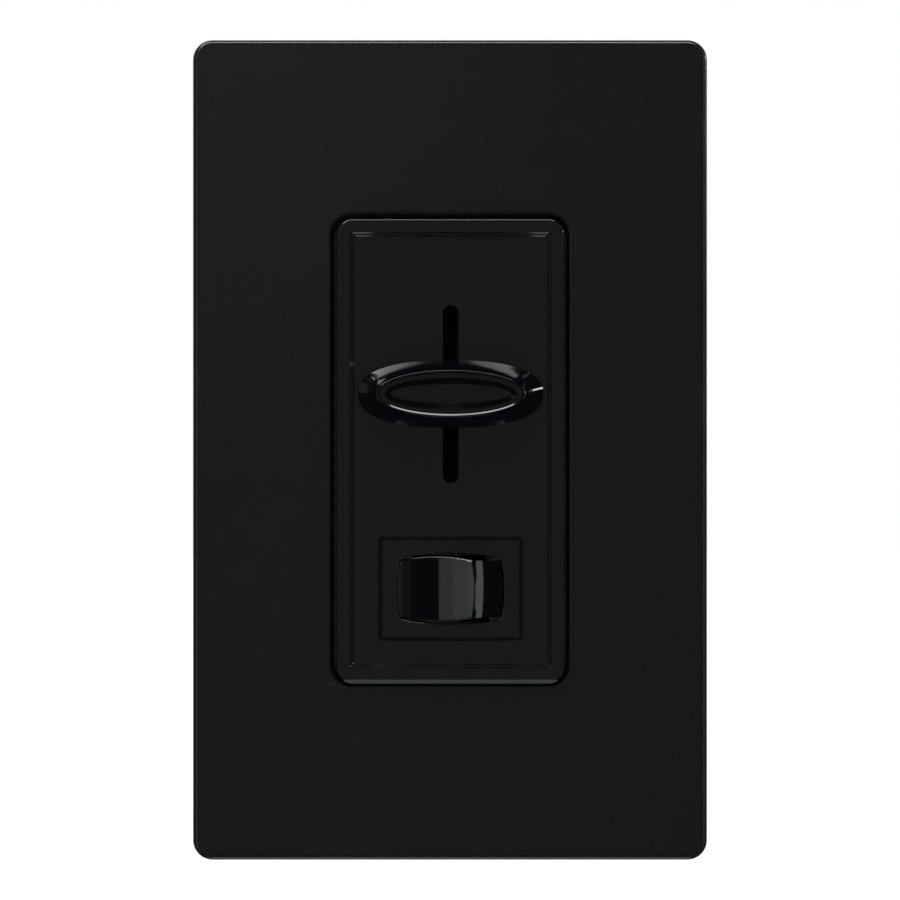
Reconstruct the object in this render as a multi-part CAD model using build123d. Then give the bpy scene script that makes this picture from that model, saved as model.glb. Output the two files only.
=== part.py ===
from build123d import *
import math
import os

# A decorator slide dimmer with a preset rocker switch, in a screwless single-gang wall plate.
# Millimetres. +Z is up and -Y points out at the room. The origin is the centre of the device on
# the plane of the finished wall, which is also the back face of the yoke. Everything at negative Y
# stands in front of the wall, and everything at positive Y is inside the wall box.

# ---- wall plate, snapped over an adapter -------------------------------------------------------
plate_width = 74.7
plate_height = 119.1
plate_depth = 7.6
plate_corner = 2.85
plate_skin = 2.0
plate_wall = 1.8
plate_edge_radius = 0.8
plate_play = (-0.1, 0.2)  # where the plate sits on its snap fit, across and up, from the device
opening_side_gap = 0.7  # between the plate's opening and the bezel
opening_end_gap = 0.35
opening_lip = 0.5
collar_wall = 1.2
snap_length = 12.0
snap_height = 1.2
snap_reach = 0.9
snap_pitch = 62.0

adapter_depth = 3.6
adapter_gap = 0.5  # between the adapter's rim and the plate round it
adapter_screw_pitch = 96.8
screw_radius = 1.75  # number 6-32
screw_hole = 2.0

# ---- yoke --------------------------------------------------------------------------------------
yoke_thickness = 1.6
yoke_margin = 5.8  # past the bezel, each side
yoke_body_height = 72.0
yoke_height = 105.6
strap_width = 25.0
ear_width = 32.0
ear_height = 7.0
box_screw_pitch = 83.3
box_slot_radius = 2.1
box_slot_length = 7.0
box_screw_length = 25.4
box_head_radius = 3.4
box_head_height = 1.9
box_neck_radius = 1.4
retainer_thickness = 0.9
retainer_play = 0.3  # between a washer and the thread behind it
adapter_head_radius = 2.8
adapter_head_height = 1.7
adapter_screw_length = 11.0
ground_tab_width = 9.0
ground_tab_depth = 10.0
ground_tab_x = -9.8
ground_tab_z = -39.8
ground_screw_across = 8.8
ground_head_height = 2.4
ground_screw_reach = 7.0
driver_slot_width = 1.0
countersink_depth = 0.9

# ---- front bezel -------------------------------------------------------------------------------
bezel_width = 32.8
bezel_height = 67.3
bezel_corner = 2.2
bezel_proud = 1.3  # how far its frame stands out of the wall plate
bezel_wall = 1.5
bezel_bevel = 0.6
bezel_edge_radius = 0.3
flange_reach = 1.6  # of the bezel's foot, which closes the gap round it from behind
flange_thickness = 1.2
border_side = 1.8  # the raised border round the panel, which is wider below than above
border_top = 1.95
border_bottom = 2.25
panel_recess = 0.35
panel_thickness = 1.5
groove_width = 0.5
groove_depth = 0.22
groove_slope = 0.2  # of each side, which leaves a narrow floor
step_ledge = 0.25  # between the two slopes of the panel's step
step_corner = 0.45
opening_edge = 0.12  # rounding of the hole round the rocker
leg_width = 4.6
leg_thickness = 1.4
leg_hook = 0.6
leg_pitch = 48.0
leg_play = 0.25

# ---- slider ------------------------------------------------------------------------------------
slot_z = 8.3
slider_travel = 10.3  # each way from the middle
knob_base = (13.4, 4.9)  # half width and half height where it flares over the panel
knob_face = (10.75, 3.37)
knob_dish = (9.5, 2.3)
knob_dish_depth = 0.15
knob_dish_slope = 0.9  # width of the slope round the dish's floor
knob_fullness = 2.4  # of the base's outline, where 2 is an ellipse
knob_flare = 1.3  # 1 is a straight taper and more is a hollow one
knob_levels = [0.0, 0.33, 0.67, 1.0]
lens_points = 24
knob_height = 3.6
knob_base_edge = 0.35
knob_rim_edge = 0.12
knob_rim_width = 0.22
knob_rim_depth = 0.12
knob_rim_slope = 0.2
knob_float = 0.25  # between the knob and the panel
lever_socket_depth = 4.0
stem_width = 1.9
stem_height = 4.8
stem_side_play = 0.2
stem_end_play = 0.2

# ---- slide potentiometer -----------------------------------------------------------------------
pot_width = 9.0
pot_length = 36.0
pot_depth = 7.2
pot_wall = 0.5
lever_width = 1.0
lever_height = 3.0
lever_play = 0.4
carriage_width = 6.0
carriage_height = 7.0
carriage_depth = 1.8
carriage_play = 0.8  # under the case's lid
track_thickness = 0.9
wiper_thickness = 0.25

# ---- rocker and its switch ---------------------------------------------------------------------
rocker_z = -19.9
rocker_radius = 11.02  # pivot to the edge of the face
rocker_pivot_depth = 8.15  # behind the panel
rocker_half_angle = 31.2
rocker_tilt = 12.9  # each way from the middle
rocker_drum_half_angle = 66.0
rocker_wall = 1.6
rocker_half_height = 4.72
rocker_end_height = 4.12
rocker_side_crown = 0.4
rocker_dish = 0.5
rocker_play = 0.12
rocker_edge = 0.25
frame_width = 20.9
frame_height = 15.1
frame_corner = 0.7
opening_half_height = 5.1
opening_end_height = 4.35
pin_radius = 1.0
pin_play = 0.05
lug_gap = 0.15
lug_thickness = 2.0
lug_half_width = 2.6
well_gap = 0.4  # between the rocker's well and the yoke behind it
hub_radius = 2.3
finger_reach = 3.6
finger_width = 4.4
finger_bore = 1.35
finger_bottom = -1.4  # from the pivot, where the spring sits
spring_length = 3.0
plunger_radius = 1.25
spring_wire = 0.25
spring_turns = 5
blade_pivot_rise = 2.6  # in front of the board
blade_tilt = 9.0
blade_length = 11.6
blade_width = 4.0
blade_thickness = 0.6
contact_x = -4.5
contact_radius = 1.2
contact_height = 0.5
contact_gap = 0.06
cradle_play = 0.1
cradle_wall = 0.6
cradle_base = 0.6
blade_clearance = 0.06

# ---- back housing and board --------------------------------------------------------------------
housing_margin = 5.1  # past the bezel, each side
housing_height = 68.0
housing_depth = 31.0
housing_wall = 1.6
housing_corner = 3.0
post_inset = 3.9
post_radius = 2.8
rivet_radius = 1.3
rivet_head_radius = 2.3
rivet_head_height = 0.9
insulator_thickness = 0.4
insulator_play = 0.2
board_play = 0.4
board_thickness = 1.6
board_front = 9.0
rib_width = 4.0
rib_depth = 1.6
rib_pitch = 44.0
vent_count = 5
vent_pitch = 7.0
vent_length = 16.0
vent_width = 1.6

# ---- terminals ---------------------------------------------------------------------------------
terminal_pitch = 25.0
terminal_pocket_height = 11.0
terminal_pocket_length = 13.0
terminal_pocket_setback = 2.9  # behind the board
terminal_pocket_depth = 3.2
terminal_thickness = 0.8
wire_room = 2.1
terminal_screw_radius = 1.8
terminal_head_radius = 3.7
terminal_head_height = 2.2
clamp_thickness = 1.0
clamp_size = 8.4
tail_width = 2.4
tail_play = 0.1

# ---- power parts and components ----------------------------------------------------------------
triac_gap = 3.0  # between the triac and the potentiometer
triac_z = 9.4
triac_width = 10.0
triac_body_height = 9.0
triac_tab_height = 15.4
triac_depth = 4.5
triac_tab_thickness = 1.3
triac_pad_thickness = 0.15
triac_lead_pitch = 2.54
triac_lead_width = 0.8
triac_lead_thickness = 0.5
triac_lead_run = 2.5  # below the body, before they bend back to the board
choke_x = -7.2
choke_z = 13.6
choke_outer = 10.2
choke_inner = 5.4
choke_depth = 9.0
choke_front = 12.6
choke_wire = 0.8
choke_turns = 20
choke_gap_angle = 30
choke_slack = 0.05  # between the wire and the ring
capacitor_size = (18.0, 14.0, 8.5)
capacitor_place = (-8.4, -13.6)
small_capacitor_size = (7.2, 8.0, 3.4)
small_capacitor_places = [(9.4, -4.6), (9.4, -10.6)]
resistor_length = 6.4
resistor_radius = 1.15
resistor_places = [(-8.0, -24.0), (5.0, -24.0), (10.0, -16.0)]
diac_place = (10.0, -20.0)
diac_length = 4.2
diac_radius = 0.95
lead_radius = 0.3
lead_bend = 1.3
component_lift = 0.4
pin_reach = 1.4  # of pins and legs past the back of the board

# ---- sizes and places that follow from those above ----------------------------------------------
yoke_width = bezel_width + 2 * yoke_margin
housing_width = bezel_width + 2 * housing_margin
opening_width = bezel_width + 2 * opening_side_gap
opening_height = bezel_height + 2 * opening_end_gap
opening_corner = bezel_corner + (opening_side_gap + opening_end_gap) / 2
panel_width = bezel_width - 2 * border_side
panel_height = bezel_height - border_top - border_bottom
panel_z = (border_bottom - border_top) / 2
slot_width = stem_width + 2 * stem_side_play
slot_length = stem_height + 2 * slider_travel + 2 * stem_end_play
post_x = housing_width / 2 - post_inset
post_z = housing_height / 2 - post_inset
board_width = housing_width - 2 * housing_wall - 2 * board_play
board_height = 2 * (post_z - post_radius - board_play)
triac_x = pot_width / 2 + triac_gap + triac_width / 2
plate_front = -plate_depth
yoke_front = -yoke_thickness
bezel_front = plate_front - bezel_proud
ground_screw_y = ground_tab_depth * 0.55
panel_front = bezel_front + panel_recess
panel_back = panel_front + panel_thickness
pivot_y = panel_front + rocker_pivot_depth
track_width = pot_width - 2 * pot_wall
track_length = pot_length - 2 * pot_wall
knob_back = panel_front - knob_float
knob_front = knob_back - knob_height
stem_back = yoke_front - 1.0
board_back = board_front + board_thickness
blade_pivot_y = board_front - blade_pivot_rise
terminal_pocket_start = board_back + terminal_pocket_setback
pot_front = board_front - pot_depth
carriage_front = pot_front + pot_wall + carriage_play
housing_back = housing_depth
housing_floor = housing_back - housing_wall
blade_back = blade_thickness / 2
small_gap = 0.2


def facing(depth):
    """A plane parallel to the wall: its x is X, its y is Z and its normal points at the room."""
    return Plane(origin=(0, depth, 0), x_dir=(1, 0, 0), z_dir=(0, -1, 0))


def slab(width, height, front, back, x=0, z=0, corner=0):
    """A block from front to back in Y, with its corners rounded as seen from the room."""
    outline = RectangleRounded(width, height, corner) if corner else Rectangle(width, height)
    return extrude(facing(back) * Pos(x, z) * outline, amount=back - front)


def peg(radius, front, back, x=0, z=0):
    """A round bar along Y."""
    return extrude(facing(back) * Pos(x, z) * Circle(radius), amount=back - front)


def cone(front_radius, back_radius, front, back, x=0, z=0):
    """A tapered round bar along Y."""
    front_circle = facing(front) * Pos(x, z) * Circle(front_radius)
    back_circle = facing(back) * Pos(x, z) * Circle(back_radius)
    return loft([back_circle, front_circle])


def bar_x(radius, start, end, y, z):
    """A round bar along X."""
    return Plane(origin=(start, y, z), z_dir=(1, 0, 0)) * extrude(Circle(radius), amount=end - start)


def bar_z(radius, start, end, x, y):
    """A round bar along Z."""
    return Pos(x, y, start) * extrude(Circle(radius), amount=end - start)


def brick(x_range, y_range, z_range):
    """A plain block between two corners."""
    size = [high - low for low, high in (x_range, y_range, z_range)]
    middle = [(high + low) / 2 for low, high in (x_range, y_range, z_range)]
    return Pos(*middle) * Box(*size)


def front_edges(solid, depth):
    """The edges that lie in the plane at this depth."""
    return [edge for edge in solid.edges() if abs(edge.bounding_box().min.Y - depth) < 1e-3
            and abs(edge.bounding_box().max.Y - depth) < 1e-3]


def pan_screw(head_radius, head_height, length, x, z, seat):
    """A pan-head machine screw along Y, whose head stands on the plane at seat."""
    head = peg(head_radius, seat - head_height, seat, x, z)
    head = fillet(front_edges(head, seat - head_height), head_height * 0.45)
    slot = slab(head_radius * 2, 0.9, seat - head_height, seat - head_height * 0.5, x, z)
    shank = peg(screw_radius, seat - 0.01, seat + length, x, z)
    shank = chamfer(front_edges(shank, seat + length), 0.4)
    return head - slot + shank


# ---- wall plate and adapter --------------------------------------------------------------------
def wallplate():
    shell = slab(plate_width, plate_height, plate_front, 0, corner=plate_corner)
    shell = fillet(front_edges(shell, plate_front), plate_edge_radius)
    inner = plate_width - 2 * plate_wall
    inner_height = plate_height - 2 * plate_wall
    inner_corner = plate_corner - plate_wall
    shell -= slab(inner, inner_height, plate_front + plate_skin, 0, corner=inner_corner)
    collar_back = -adapter_depth - small_gap
    collar_corner = opening_corner + collar_wall
    shell += slab(opening_width + 2 * collar_wall, opening_height + 2 * collar_wall,
                  plate_front + plate_skin / 2, collar_back, corner=collar_corner)
    shell -= slab(opening_width, opening_height, plate_front, collar_back, corner=opening_corner)
    rim = [edge for edge in front_edges(shell, plate_front)
           if abs(edge.center().X) < opening_width / 2 + 1e-3
           and abs(edge.center().Z) < opening_height / 2 + 1e-3]
    shell = fillet(rim, opening_lip)
    for side in (-1, 1):
        for end in (-1, 0, 1):
            shell += snap_hook(side, end * snap_pitch / 2)
    return Pos(plate_play[0], 0, plate_play[1]) * shell


def snap_hook(side, z):
    """A ramp on the plate's inner wall that catches behind the adapter's rim."""
    wall = plate_width / 2 - plate_wall
    back = -snap_height / 2
    front = back - snap_height
    profile = Polyline((wall + 0.5, front), (wall - snap_reach, front + 0.15),
                       (wall, back), (wall + 0.5, back), close=True)
    hook = extrude(make_face(profile), amount=snap_length / 2, both=True)
    if side < 0:
        hook = mirror(hook, about=Plane.YZ)
    return Pos(0, 0, z) * hook


def adapter_plate():
    width = plate_width - 2 * (plate_wall + adapter_gap)
    height = plate_height - 2 * (plate_wall + adapter_gap)
    frame = slab(width, height, -adapter_depth, 0, corner=1.5)
    frame = chamfer(front_edges(frame, -adapter_depth), 0.6)
    yoke_room = 0.6
    frame -= slab(yoke_width + 2 * yoke_room, yoke_height + 2 * yoke_room, yoke_front - small_gap / 2, 0,
                  corner=2.0)
    collar_room = collar_wall + 0.6
    frame -= slab(opening_width + 2 * collar_room, opening_height + 2 * collar_room,
                  -adapter_depth, 0, corner=opening_corner + collar_room)
    for end in (-1, 1):
        frame -= peg(box_head_radius + 0.35, -adapter_depth, 0, 0, end * box_screw_pitch / 2)
        frame -= peg(screw_hole, -adapter_depth, 0, 0, end * adapter_screw_pitch / 2)
    ledge = snap_height * 1.5 + 0.2
    for side in (-1, 1):
        for end in (-1, 0, 1):
            x = side * (width / 2)
            frame -= slab(2 * snap_reach, snap_length + 1.0, -ledge, 0, x, end * snap_pitch / 2)
        for row in (-1, 1):
            frame -= slab(5.0, 14.0, -adapter_depth, 0, side * 28.0, row * 22.0, corner=1.2)
    return frame


def adapter_screws():
    ends = [end * adapter_screw_pitch / 2 for end in (-1, 1)]
    return [pan_screw(adapter_head_radius, adapter_head_height, adapter_screw_length, 0, z, -adapter_depth)
            for z in ends]


# ---- yoke and what holds it --------------------------------------------------------------------
def leg_places():
    """Where the bezel's snap legs pass through the yoke."""
    return [(side, side * (bezel_width / 2 - leg_thickness / 2 - 0.1), end * leg_pitch / 2)
            for side in (-1, 1) for end in (-1, 1)]


def front_windows(front, back, play):
    """Cuts for the slider's lever, the rocker's lugs and the bezel's legs."""
    margin = 2 * (lever_play + play)
    cuts = slab(slot_width + margin, slot_length + margin, front, back, 0, slot_z)
    switch_height = 2 * (rocker_half_height + lug_gap + lug_thickness + 0.7 + play)
    cuts += slab(2 * (hub_radius + 3.4 + play), switch_height, front, back, 0, rocker_z, corner=1.0)
    for side, x, z in leg_places():
        cuts += slab(leg_thickness + 2 * leg_play + 2 * play, leg_width + 2 * leg_play + 2 * play,
                     front, back, x, z)
    return cuts


def yoke():
    plate = slab(yoke_width, yoke_body_height, yoke_front, 0, corner=2.0)
    plate += slab(strap_width, yoke_height, yoke_front, 0, corner=1.5)
    for end in (-1, 1):
        ear_z = end * (yoke_height - ear_height) / 2
        plate += slab(ear_width, ear_height, yoke_front, 0, 0, ear_z, corner=3.0)
        plate -= peg(screw_radius, yoke_front, 0, 0, end * adapter_screw_pitch / 2)
        slot = SlotOverall(box_slot_length, 2 * box_slot_radius)
        plate -= extrude(facing(0) * Pos(0, end * box_screw_pitch / 2) * slot, amount=yoke_thickness)
        for side in (-1, 1):
            notch_x = side * (strap_width / 2 + 1.6)
            plate -= peg(0.9, yoke_front, 0, notch_x, end * (yoke_height / 2 - ear_height / 2))
            fin_x = side * (yoke_width / 2 - 3.6)
            plate -= slab(0.9, 6.0, yoke_front, 0, fin_x, end * (yoke_body_height / 2 - 9.0), corner=0.4)
    plate -= front_windows(yoke_front, 0, 0)
    for x, z in post_places() + [(triac_x, triac_hole_z())]:
        plate -= peg(rivet_radius, yoke_front, 0, x, z)
        plate -= cone(rivet_head_radius, rivet_radius, yoke_front, yoke_front + countersink_depth, x, z)
    tab = brick((ground_tab_x - yoke_thickness, ground_tab_x), (yoke_front, ground_tab_depth),
                (ground_tab_z - ground_tab_width / 2, ground_tab_z + ground_tab_width / 2))
    far_edges = [edge for edge in tab.edges()
                 if edge.center().Y > ground_tab_depth - 0.1 and abs(edge.center().Z - ground_tab_z) > 1]
    tab = fillet(far_edges, 2.0)
    tab -= bar_x(screw_radius, ground_tab_x - yoke_thickness, ground_tab_x, ground_screw_y, ground_tab_z)
    return plate + tab


def box_screws():
    """Each is necked down under its head, where a washer holds it, and threaded beyond the neck."""
    screws = []
    for end in (-1, 1):
        z = end * box_screw_pitch / 2
        thread_start = retainer_thickness + retainer_play
        screw = pan_screw(box_head_radius, box_head_height, box_screw_length, 0, z, yoke_front)
        skin = peg(screw_radius + 0.1, yoke_front, thread_start, 0, z)
        screws.append(screw - (skin - peg(box_neck_radius, yoke_front, thread_start, 0, z)))
    return screws


def screw_retainers():
    """Fibre washers that keep the box screws from falling out before fitting."""
    rings = []
    for end in (-1, 1):
        z = end * box_screw_pitch / 2
        washer = slab(9.0, 6.2, 0, retainer_thickness, 0, z, corner=1.0)
        rings.append(washer - peg(box_neck_radius, 0, retainer_thickness, 0, z))
    return rings


def ground_screw():
    """A green hexagon-headed screw in the tab, with a slot across its head."""
    seat = ground_tab_x - yoke_thickness
    outer = seat - ground_head_height
    start = Plane(origin=(outer, ground_screw_y, ground_tab_z), z_dir=(1, 0, 0))
    head = extrude(start * RegularPolygon(ground_screw_across / 2, 6), amount=ground_head_height)
    rim = bar_x(ground_screw_across / 2 - 0.1, outer, seat, ground_screw_y, ground_tab_z)
    rim = chamfer(rim.faces().sort_by(Axis.X)[0].edges(), 0.5)
    head = head & rim
    head -= brick((outer, outer + ground_head_height * 0.45),
                  (ground_screw_y - ground_screw_across, ground_screw_y + ground_screw_across),
                  (ground_tab_z - driver_slot_width / 2, ground_tab_z + driver_slot_width / 2))
    return head + bar_x(screw_radius, seat - 0.01, seat + ground_screw_reach, ground_screw_y, ground_tab_z)


# ---- bezel -------------------------------------------------------------------------------------
def barrel_outline(half_width, middle, end):
    """A strip with bowed long sides: middle is its half height at the centre, end at the sides."""
    right_top, left_top = (half_width, end), (-half_width, end)
    right_low, left_low = (half_width, -end), (-half_width, -end)
    top = ThreePointArc(left_top, (0, middle), right_top)
    low = ThreePointArc(right_low, (0, -middle), left_low)
    return make_face([top, Line(right_top, right_low), low, Line(left_low, left_top)])


def drum(radius, half_height):
    """A crowned drum about the rocker's own axis, widest at its middle."""
    end_radius = radius - rocker_side_crown * (half_height / rocker_half_height) ** 2
    side = ThreePointArc((end_radius, -half_height), (radius, 0), (end_radius, half_height))
    core = Polyline((end_radius, half_height), (0, half_height), (0, -half_height),
                    (end_radius, -half_height))
    return revolve(Plane.XZ * make_face([side, core]), axis=Axis.Z)


def rocker_opening():
    """The hole in the panel, with sides that follow the drum at a running clearance."""
    half_width = rocker_radius
    visible_half_width = math.sqrt(rocker_radius ** 2 - rocker_pivot_depth ** 2)
    drop = (opening_half_height - opening_end_height) * (half_width / visible_half_width) ** 2
    outline = barrel_outline(half_width, opening_half_height, opening_half_height - drop)
    strip = extrude(facing(panel_back + 1) * Pos(0, rocker_z) * outline, amount=panel_thickness + 2)
    return strip & (Pos(0, pivot_y, rocker_z) * drum(rocker_radius + rocker_play, opening_half_height + 1))


def groove_ring(width, height, corner):
    """A fine groove with sloping sides that runs round the rocker on the face of the panel."""
    depth = panel_front + groove_depth
    inner_width = width - 2 * groove_width
    inner_height = height - 2 * groove_width
    ring = slab(width, height, panel_front, depth, 0, rocker_z, corner=corner)
    ring -= slab(inner_width, inner_height, panel_front, depth, 0, rocker_z, corner=corner - groove_width)
    return chamfer(front_edges(ring, depth), groove_slope)


def recess():
    """The shallow recess that the panel lies in, which drops in two sloping steps round a ledge."""
    drop = panel_recess / 2
    ledge = bezel_front + drop
    inset = 2 * (drop + step_ledge)
    upper = slab(panel_width, panel_height, bezel_front - 1, ledge, 0, panel_z, corner=step_corner)
    lower = slab(panel_width - inset, panel_height - inset, bezel_front - 1, panel_front, 0, panel_z,
                 corner=step_corner)
    return chamfer(front_edges(upper, ledge), drop) + chamfer(front_edges(lower, panel_front), drop)


def inside_box(edges, half_width, half_height, z):
    """Those edges that lie within a rectangle as seen from the room."""
    return [edge for edge in edges
            if abs(edge.center().X) < half_width and abs(edge.center().Z - z) < half_height]


def bezel():
    shell = slab(bezel_width, bezel_height, bezel_front, yoke_front, corner=bezel_corner)
    shell = fillet(front_edges(shell, bezel_front), bezel_edge_radius)
    low = -bezel_height / 2
    wedge = make_face(Polyline((bezel_front, low + bezel_bevel), (bezel_front + bezel_bevel, low),
                               (bezel_front + bezel_bevel, low - 1), (bezel_front - 1, low - 1),
                               (bezel_front - 1, low + bezel_bevel), close=True))
    shell -= extrude(Plane.YZ * wedge, amount=bezel_width / 2, both=True)
    shell -= recess()
    shell += slab(bezel_width + 2 * flange_reach, bezel_height + 2 * flange_reach,
                  yoke_front - flange_thickness, yoke_front, corner=bezel_corner + flange_reach)
    shell -= slab(bezel_width - 2 * bezel_wall, bezel_height - 2 * bezel_wall, panel_back, yoke_front,
                  corner=bezel_corner - bezel_wall + 0.3)
    shell -= groove_ring(frame_width, frame_height, frame_corner)
    slot = facing(panel_back) * Pos(0, slot_z) * Rot(0, 0, 90) * SlotOverall(slot_length, slot_width)
    shell -= extrude(slot, amount=panel_thickness)
    shell -= rocker_opening()
    rocker_rim = inside_box(front_edges(shell, panel_front), frame_width / 2 - groove_width - 0.1,
                            frame_height / 2 - groove_width - 0.1, rocker_z)
    shell = fillet(rocker_rim, opening_edge)
    for end in (-1, 1):
        shell += rocker_lug(end)
    for side, x, z in leg_places():
        shell += snap_leg(side, x, z)
    return shell


def rocker_lug(end):
    """One wall of the rocker's well, with an ear behind it that carries one of the rocker's pins."""
    near = rocker_half_height + lug_gap
    low, high = sorted(rocker_z + end * reach for reach in (near, near + lug_thickness))
    wall_half_width = rocker_radius + rocker_play
    lug = brick((-wall_half_width, wall_half_width), (panel_back - 0.5, yoke_front - well_gap), (low, high))
    lug += brick((-lug_half_width, lug_half_width), (panel_back - 0.5, pivot_y), (low, high))
    lug += bar_z(lug_half_width, low, high, 0, pivot_y)
    return lug - bar_z(pin_radius + pin_play, low, high, 0, pivot_y)


def snap_leg(side, x, z):
    """A leg that passes through the yoke and catches behind it and its insulating sheet."""
    catch = insulator_thickness + 0.1
    tip = catch + 1.6
    inner, outer = -leg_thickness / 2, leg_thickness / 2
    profile = Polyline((inner, panel_back - 0.5), (outer, panel_back - 0.5), (outer, catch),
                       (outer + leg_hook, catch), (outer, tip), (inner, tip), close=True)
    leg = Pos(0, 0, z) * extrude(make_face(profile), amount=leg_width / 2, both=True)
    if side < 0:
        leg = mirror(leg, about=Plane.YZ)
    return Pos(x, 0, 0) * leg


# ---- slider ------------------------------------------------------------------------------------
def rounded_lens(half_width, half_height, fullness, depth):
    """A closed outline between an ellipse, at a fullness of 2, and a rectangle."""
    points = []
    for step in range(lens_points):
        angle = 2 * math.pi * step / lens_points
        across, up = math.cos(angle), math.sin(angle)
        x = half_width * math.copysign(abs(across) ** (2 / fullness), across)
        z = half_height * math.copysign(abs(up) ** (2 / fullness), up)
        points.append((x, z))
    return facing(depth) * Pos(0, slot_z) * make_face(Spline(points, periodic=True))


def knob_flank():
    """The flared body of the knob, from its foot to its rim."""
    sections = []
    rise = knob_height - knob_base_edge
    for level in knob_levels:
        share = (1 - level) ** knob_flare
        half_width = knob_face[0] + (knob_base[0] - knob_face[0]) * share
        half_height = knob_face[1] + (knob_base[1] - knob_face[1]) * share
        fullness = 2.0 + (knob_fullness - 2.0) * share
        depth = knob_back - knob_base_edge - rise * level
        sections.append(rounded_lens(half_width, half_height, fullness, depth))
    return loft(sections)


def oval_sinking(edge, floor, top, bottom):
    """A shallow oval hollow, between an edge and a floor given as half widths and half heights."""
    edge_oval = facing(top) * Pos(0, slot_z) * Ellipse(*edge)
    return loft([edge_oval, facing(bottom) * Pos(0, slot_z) * Ellipse(*floor)])


def slider_knob():
    """A flared boat with a thin rim round a dished oval face, on a blade that passes through the slot."""
    knob = extrude(rounded_lens(*knob_base, knob_fullness, knob_back), amount=knob_base_edge) + knob_flank()
    knob = fillet(front_edges(knob, knob_front), knob_rim_edge)
    face = knob_front + knob_rim_depth
    rim_inside = [half - knob_rim_width for half in knob_face]
    face_edge = [half - knob_rim_width - knob_rim_slope for half in knob_face]
    knob -= oval_sinking(rim_inside, face_edge, knob_front, face)
    dish_floor = [half - knob_dish_slope for half in knob_dish]
    knob -= oval_sinking(knob_dish, dish_floor, face, face + knob_dish_depth)
    stem = slab(stem_width, stem_height, knob_back - 0.2, stem_back, 0, slot_z, corner=0.5)
    socket_front = stem_back - lever_socket_depth
    return knob + stem - slab(lever_width, lever_height, socket_front, stem_back, 0, slot_z)


def pot_case():
    case = slab(pot_width, pot_length, pot_front, board_front, 0, slot_z, corner=0.6)
    case -= slab(track_width, track_length, pot_front + pot_wall, board_front, 0, slot_z)
    lever_run = lever_height + 2 * slider_travel + 2 * lever_play
    return case - slab(lever_width + 2 * lever_play, lever_run, pot_front, pot_front + pot_wall, 0, slot_z)


def pot_track():
    """The phenolic strip that closes the case and carries the resistive track."""
    return slab(track_width, track_length, board_front - track_thickness, board_front, 0, slot_z)


def pot_lever():
    """The tongue that the knob's blade fits over, and the carriage that it stands on."""
    tip = stem_back - lever_socket_depth
    lever = slab(lever_width, lever_height, tip, carriage_front + 0.2, 0, slot_z)
    carriage_back = carriage_front + carriage_depth
    return lever + slab(carriage_width, carriage_height, carriage_front, carriage_back, 0, slot_z, corner=0.5)


def pot_wiper():
    """Two bronze fingers that run on the track, bent from one strip under the carriage."""
    top = carriage_front + carriage_depth
    low = board_front - track_thickness - 0.05
    wiper = slab(5.0, 4.0, top, top + wiper_thickness, 0, slot_z)
    for side in (-1, 1):
        finger = make_face(Polyline((top, 1.6), (top + wiper_thickness, 1.6), (low, -2.6), (low, -3.3),
                                    (low - wiper_thickness, -3.3), (low - wiper_thickness, -2.5), close=True))
        finger = extrude(Plane.YZ * finger, amount=0.5, both=True)
        wiper += Pos(side * 1.6, 0, slot_z) * finger
    return wiper


def pot_pins():
    pins = []
    for x, end in ((-2.0, -1), (2.0, -1), (0.0, 1)):
        z = slot_z + end * (pot_length / 2 - 1.6)
        pins.append(slab(0.8, 0.5, board_front, board_back + pin_reach, x, z))
    return pins


# ---- rocker and its switch ---------------------------------------------------------------------
def tilted(solid, angle):
    """Turn a piece about the rocker's axis."""
    return Pos(0, pivot_y, rocker_z) * Rot(0, 0, angle) * solid


def rocker():
    """The finger piece: a drum with a dished face, on a hub with two pins and a hollow finger."""
    half_angle = math.radians(rocker_drum_half_angle)
    sector_half_width = rocker_radius * math.sin(half_angle)
    sector_front = rocker_radius * math.cos(half_angle)
    face_half_width = rocker_radius * math.sin(math.radians(rocker_half_angle))
    face_depth = rocker_radius * math.cos(math.radians(rocker_half_angle))
    dish_radius = face_half_width ** 2 / (2 * rocker_dish) + rocker_dish / 2
    side_height = rocker_end_height
    outline = barrel_outline(face_half_width, rocker_half_height, side_height)
    outline += Rectangle(2 * sector_half_width, 2 * side_height)
    sides = extrude(Plane.XZ * outline, amount=rocker_radius + 1)
    sides -= extrude(Plane.XZ * outline, amount=sector_front)
    body = drum(rocker_radius, rocker_half_height + 0.5) & sides
    body -= Pos(0, -face_depth - dish_radius + rocker_dish, 0) * Cylinder(dish_radius, 30)
    dish = min(body.faces(), key=lambda face: face.center().Y)
    body = fillet(dish.edges(), rocker_edge)
    hollow = drum(rocker_radius - rocker_wall, rocker_half_height) & brick(
        (-sector_half_width, sector_half_width), (-face_depth + rocker_wall + rocker_dish, -sector_front),
        (-side_height + rocker_wall, side_height - rocker_wall))
    body -= hollow
    web = brick((-hub_radius, hub_radius), (-face_depth + rocker_dish, 0), (-side_height, side_height))
    body += web + bar_z(hub_radius, -rocker_half_height, rocker_half_height, 0, 0)
    finger_side = (-finger_width / 2, finger_width / 2)
    body += brick(finger_side, (0, finger_reach), finger_side)
    pin_end = rocker_half_height + lug_gap + lug_thickness
    body += bar_z(pin_radius, -pin_end, pin_end, 0, 0)
    bore = Plane(origin=(0, finger_bottom, 0), z_dir=(0, 1, 0)) * Circle(finger_bore)
    body -= extrude(bore, amount=finger_reach - finger_bottom)
    return tilted(body, -rocker_tilt)


def rocker_spring():
    """The coil spring at the bottom of the finger."""
    radius = finger_bore - spring_wire - 0.05
    height = spring_length - 2 * spring_wire
    path = Helix(pitch=height / spring_turns, height=height, radius=radius)
    wire = sweep(Plane(origin=path @ 0, z_dir=path % 0) * Circle(spring_wire), path=path)
    place = Plane(origin=(0, finger_bottom + spring_wire, 0), z_dir=(0, 1, 0))
    return tilted(place * wire, -rocker_tilt)


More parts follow.
